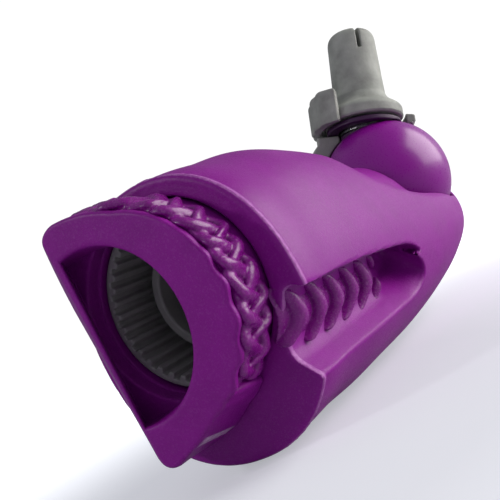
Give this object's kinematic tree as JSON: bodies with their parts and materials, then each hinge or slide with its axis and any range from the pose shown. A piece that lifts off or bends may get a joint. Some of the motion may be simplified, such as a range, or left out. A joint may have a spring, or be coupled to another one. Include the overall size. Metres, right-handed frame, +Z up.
{
  "type": "prophy angle",
  "caption": "Dental prophy angle: moulded purple body with a D-shaped mouth, fluted drive socket, braided relief, ball guard and a slotted grey cup post.",
  "frame": {"origin": "centre of the drive socket's front face, on the drive axis", "axes": "+Y along the drive axis from the mouth towards the head, +Z up to the cup side, +X to the side with the braided channel"},
  "size_m": [0.0117, 0.036, 0.0208],
  "materials": {
    "satin_purple": "satin moulded, fine pearl grain",
    "gloss_purple": "glossy moulded",
    "dark_purple": "matte moulded",
    "grey_plastic": "matte moulded, warm grey",
    "white_plastic": "self-lubricating natural plastic",
    "steel": "stamped, brushed",
    "black_rubber": "matte rubber"
  },
  "bodies": {
    "housing": {"outer_shell": "satin_purple", "side_cover": "satin_purple", "cover_pin_1": "white_plastic", "cover_pin_2": "white_plastic", "front_hood": "satin_purple", "hood_braid_front": "gloss_purple", "hood_braid_rear": "gloss_purple", "side_braid_upper": "gloss_purple", "side_braid_lower": "gloss_purple", "front_bushing": "white_plastic", "rear_bushing": "white_plastic", "bushing_spacer": "grey_plastic", "socket_thrust_washer": "steel", "gear_thrust_washer": "steel", "head_ball": "gloss_purple", "rotor_yoke": "grey_plastic", "flange_shield": "grey_plastic", "head_cap_plate": "dark_purple", "rotor_bushing": "dark_purple", "rotor_thrust_washer": "steel", "rotor_seal_ring": "black_rubber"},
    "drive": {"drive_socket": "grey_plastic", "drive_shaft": "grey_plastic", "drive_gear": "white_plastic", "shaft_retaining_ring": "steel"},
    "rotor": {"cup_rotor": "grey_plastic", "rotor_gear": "white_plastic"}
  },
  "joints": [
    {"name": "drive_spin", "type": "hinge", "parent": "housing", "child": "drive", "pos_m": [0, 0, 0], "axis": [0, 1, 0], "continuous": true},
    {"name": "cup_spin", "type": "hinge", "parent": "housing", "child": "rotor", "pos_m": [0, 0.026, 0], "axis": [0.2418, 0.2797, 0.9291], "continuous": true}
  ],
  "couplings": [
    {"joint": "cup_spin", "follows": "drive_spin", "ratio": 1}
  ]
}
